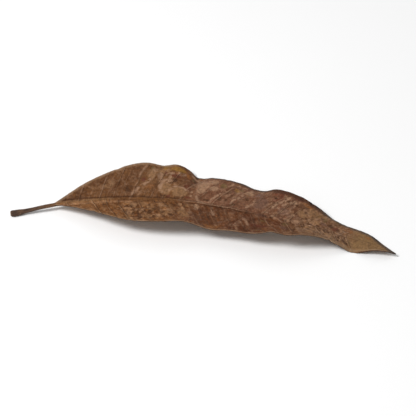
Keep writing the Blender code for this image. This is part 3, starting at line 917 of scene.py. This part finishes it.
def upper_material():
    """The mottled upper side, from its ground through its stains to its veins and rims."""
    graph = Graph("leaf_upper")
    veins = Veins(graph)
    place = veins.place
    stains = read_stains(graph)
    pale_line, dark_line, calm, _ = graph.read("lines")
    rough_part = graph.step(graph.most(stains["smooth"], calm), 0.3, 0.8, 1.0, 0.3)
    near_part = graph.step(veins.t, 0.33, 0.42, 1.40, 1.15)
    rough_part = graph.times(rough_part, graph.step(veins.side, -0.5, 0.5, near_part, 0.80))
    broad = graph.noise(place, 0.016, 4.0, 0.6, 0.6)
    middling = graph.noise(place, 0.0040, 5.0, 0.62, 0.5)
    fine = graph.noise(place, 0.0014, 3.0, 0.6)
    ragged = graph.centred(graph.noise(place, 0.0030, 4.0, 0.6, 0.6), 0.95)

    colour = ground(graph, veins)
    colour = graph.mix(graph.step(broad, 0.60, 0.38), colour, GROUND_DARK, "MULTIPLY")
    colour = graph.lay(colour, MOTTLE_LIGHT, graph.step(middling, 0.52, 0.70, 0.0, 0.60), rough_part)
    patches = graph.times(graph.step(stains["patchy"], 0.2, 0.9, 0.25, 1.0), rough_part)
    colour = patched(graph, colour, veins, patches)
    tip_part = graph.plus(stains["smooth"], ragged, graph.centred(middling, 1.2))
    colour = graph.lay(colour, TIP_TAN, graph.step(tip_part, 0.35, 1.05))
    colour = stained(graph, colour, stains, ragged)
    colour = patched(graph, colour, veins, graph.times(patches, 0.35))

    rough_part = graph.times(rough_part, graph.step(stains["pink"], 0.6, 1.1, 1.0, 0.25))
    colour = graph.lay(colour, MOTTLE_DARK, graph.step(middling, 0.46, 0.32, 0.0, 0.60), rough_part)
    # Painted shade: darker beside the side veins.
    colour = graph.lay(colour, MOTTLE_DARK, veins.shade_beside_vein, rough_part, 0.22)
    striped = graph.step(stains["stripes"], 0.2, 0.8)
    colour = graph.lay(colour, MOTTLE_DARK, veins.stripe, striped, rough_part, 0.38)
    streaked = graph.step(stains["streaks"], 0.2, 0.8, 0.06, 0.6)
    pale_streak = graph.step(veins.streaks, 0.55, 0.70)
    colour = graph.lay(colour, PALE_VEIN, pale_streak, streaked, rough_part, 0.55)
    dark_streak = graph.step(veins.streaks, 0.45, 0.30)
    colour = graph.lay(colour, MOTTLE_DARK, dark_streak, streaked, rough_part, 0.5)

    plain = graph.times(veins.near_side, graph.step(veins.t, 0.18, 0.26), graph.step(veins.t, 0.66, 0.56))
    fainter = graph.less(plain, 0.70)
    seen = graph.times(graph.step(graph.noise(place, 0.008, 3.0, 0.6), 0.40, 0.60, 0.25, 1.0), fainter)
    lines = graph.most(veins.vein, graph.times(veins.small, 0.4), graph.times(veins.ladder, 0.3))
    colour = graph.lay(colour, PALE_VEIN, lines, seen, rough_part, 0.55)
    broken = graph.step(graph.noise(place, 0.0024, 3.0, 0.6), 0.38, 0.56)
    wobble = graph.math("ABSOLUTE", graph.centred(graph.noise(place, 0.0035, 3.0), 0.0022))
    # Painted shade: dark lines along the creases, under the midrib and below the blisters, also pressed into
    # the relief.
    shaded_crease = graph.step(graph.plus(dark_line, wobble), 0.0013, 0.0003)
    colour = graph.lay(colour, DARK_VEIN, shaded_crease, broken, 0.6)
    traced = graph.times(graph.step(graph.plus(pale_line, wobble), 0.0016, 0.0004), broken)
    colour = graph.lay(colour, PALE_VEIN, traced, 0.72)

    many = graph.step(stains["patchy"], 0.2, 0.8, 0.12, 1.0)
    dots = graph.dots(place, 0.0036, 0.00085)
    colour = graph.lay(colour, DARK_VEIN, dots, many, graph.step(broad, 0.35, 0.5), 0.75)
    rib_seen = graph.step(veins.t, 0.60, 0.52, 0.15, 1.0)
    # Painted shade along the midrib's sides.
    colour = graph.lay(colour, DARK_VEIN, veins.shade_beside_rib, rib_seen, 0.7)
    rib_light = graph.step(middling, 0.3, 0.6, 0.5, 0.95)
    rib_colour = graph.mix(graph.step(veins.t, 0.11, 0.21), RIB_TAN, FAR_GROUND[0])
    rib_colour = graph.mix(graph.step(veins.t, 0.32, 0.42), rib_colour, PALE_VEIN)
    colour = graph.lay(colour, rib_colour, veins.rib, rib_seen, rib_light, 0.6)
    # Painted highlight beside the midrib on its near side near the base.
    colour = graph.lay(colour, PALE_VEIN, veins.lit_rib, 0.35)
    colour = tinted(graph, colour, veins)
    colour = graph.shade(colour, graph.step(fine, 0.28, 0.72, 0.76, 1.24))
    colour = rims(graph, colour, veins, fine, stains["dark"])

    height = graph.plus(graph.times(veins.vein, 0.7), graph.times(veins.small, 0.3))
    height = graph.plus(graph.times(height, fainter), graph.times(veins.ladder, 0.35))
    height = graph.plus(height, graph.times(traced, 0.7), graph.times(shaded_crease, -0.8))
    height = graph.plus(height, graph.times(veins.streaks, streaked, 1.2), graph.times(middling, 2.2))
    height = graph.times(height, rough_part)
    height = graph.plus(height, graph.times(veins.net, 0.13), graph.times(fine, 0.5))
    roughness = graph.step(middling, 0.3, 0.7, 0.66, 0.50)
    return graph.finish(colour, roughness, height, UPPER_DEPTH, UPPER_SHINE)


def under_material():
    """The lighter underside, with stronger veins."""
    graph = Graph("leaf_under")
    veins = Veins(graph)
    place = veins.place
    broad = graph.noise(place, 0.014, 4.0, 0.6, 0.5)
    middling = graph.noise(place, 0.0040, 5.0, 0.62, 0.5)
    fine = graph.noise(place, 0.0012, 3.0, 0.6)
    blotches = graph.noise(graph.join(veins.t, veins.side, 0.3), 0.09, 4.0, 0.65, 0.5)
    colour = graph.mix(graph.step(broad, 0.35, 0.65), UNDER_BROWN, UNDER_TAN)
    colour = graph.lay(colour, UNDER_RUST, graph.step(blotches, 0.52, 0.66, 0.0, 0.6))
    colour = graph.lay(colour, UNDER_DARK, graph.step(middling, 0.44, 0.30, 0.0, 0.65))
    # Painted shade: browner beside the side veins.
    colour = graph.lay(colour, UNDER_BROWN, veins.shade_beside_vein, 0.35)
    lines = graph.most(veins.vein, graph.times(veins.small, 0.6), graph.times(veins.ladder, 0.6))
    colour = graph.lay(colour, UNDER_VEIN, lines, 0.65)
    dots = graph.dots(place, 0.0052, 0.0007)
    colour = graph.lay(colour, UNDER_DARK, dots, graph.step(broad, 0.40, 0.5), 0.8)
    colour = graph.shade(colour, graph.step(fine, 0.25, 0.75, 0.78, 1.18))
    colour = graph.lay(colour, UNDER_VEIN, veins.rib, 0.8)
    colour = graph.lay(colour, UNDER_DARK, graph.step(veins.from_margin, 0.0012, 0.0003, 0.0, 0.7))
    height = graph.plus(graph.times(veins.vein, 0.9), graph.times(veins.small, 0.5))
    height = graph.plus(height, graph.times(veins.ladder, 0.6))
    height = graph.plus(height, graph.times(veins.net, 0.25), graph.times(fine, 0.3))
    return graph.finish(colour, UNDER_ROUGHNESS, height, UNDER_DEPTH, UNDER_SHINE)


def stalk_material():
    """The streaked stalk, pale at its scar and warmer towards the blade."""
    graph = Graph("leaf_stalk")
    x, y, _, place = graph.read("place")
    streaks = graph.noise(graph.join(graph.times(x, 0.18), y), 0.0007, 4.0, 0.6)
    blotches = graph.noise(place, 0.005, 3.0, 0.6)
    colour = graph.mix(graph.step(streaks, 0.35, 0.65), STALK_DARK, STALK_BROWN)
    colour = graph.lay(colour, STALK_PALE, graph.step(blotches, 0.5, 0.7, 0.0, 0.6))
    ragged_x = graph.plus(x, graph.times(blotches, 0.008))
    colour = graph.lay(colour, STALK_WARM, graph.step(ragged_x, 0.016, 0.032, 0.0, 0.85))
    below = graph.times(graph.step(y, 0.0036, 0.0043), graph.step(y, 0.0077, 0.0070))
    colour = graph.lay(colour, UNDER_VEIN, below, graph.step(x, 0.019, 0.029), 0.75)
    colour = graph.lay(colour, STALK_DARK, graph.step(x, 0.006, 0.003, 0.0, 0.5))
    colour = graph.lay(colour, STALK_PALE, graph.step(x, 0.0005, 0.0001))
    fine = graph.noise(graph.join(graph.times(x, 0.5), y), 0.0003, 4.0, 0.65)
    colour = graph.shade(colour, graph.step(fine, 0.32, 0.68, 0.72, 1.30))
    height = graph.plus(graph.times(streaks, 1.6), fine)
    return graph.finish(colour, STALK_ROUGHNESS, height, STALK_DEPTH, STALK_SHINE)


def add_floor():
    bpy.ops.mesh.primitive_plane_add(size=FLOOR_SIZE)
    floor = bpy.context.object
    floor.name = "floor"
    material = bpy.data.materials.new("pale_floor")
    material.use_nodes = True
    shader = material.node_tree.nodes["Principled BSDF"]
    shader.inputs["Base Color"].default_value = (*FLOOR_COLOUR, 1.0)
    shader.inputs["Roughness"].default_value = FLOOR_ROUGHNESS
    shader.inputs["Specular IOR Level"].default_value = FLOOR_SHINE
    floor.data.materials.append(material)


def aim(thing, target):
    direction = Vector(target) - thing.location
    thing.rotation_euler = direction.to_track_quat("-Z", "Y").to_euler()


def add_light(name, place, size, power):
    lamp = bpy.data.lights.new(name, "AREA")
    lamp.shape = "SQUARE"
    lamp.size = size
    lamp.energy = power
    light = bpy.data.objects.new(name, lamp)
    light.location = place
    bpy.context.scene.collection.objects.link(light)
    aim(light, (0.0, 0.0, 0.0))


def add_world():
    world = bpy.data.worlds.new("studio")
    world.use_nodes = True
    sky = world.node_tree.nodes["Background"]
    sky.inputs["Color"].default_value = (1.0, 1.0, 1.0, 1.0)
    sky.inputs["Strength"].default_value = SKY_STRENGTH
    bpy.context.scene.world = world


def add_camera():
    lens = bpy.data.cameras.new("camera")
    lens.sensor_width = SENSOR_WIDTH
    lens.lens = SENSOR_WIDTH * CAMERA_DISTANCE / VIEW_WIDTH
    lens.clip_start = CAMERA_CLIP
    camera = bpy.data.objects.new("camera", lens)
    azimuth, elevation = np.radians([CAMERA_AZIMUTH, CAMERA_ELEVATION])
    level = np.cos(elevation)
    back = Vector((np.sin(azimuth) * level, -np.cos(azimuth) * level, np.sin(elevation)))
    camera.location = Vector(CAMERA_TARGET) + back * CAMERA_DISTANCE
    bpy.context.scene.collection.objects.link(camera)
    aim(camera, CAMERA_TARGET)
    bpy.context.scene.camera = camera


add_blade()
add_stalk()
add_floor()
add_world()
add_light("key", KEY_PLACE, KEY_SIZE, KEY_POWER)
add_light("fill", FILL_PLACE, FILL_SIZE, FILL_POWER)
add_camera()
bpy.context.scene.view_settings.view_transform = "Standard"
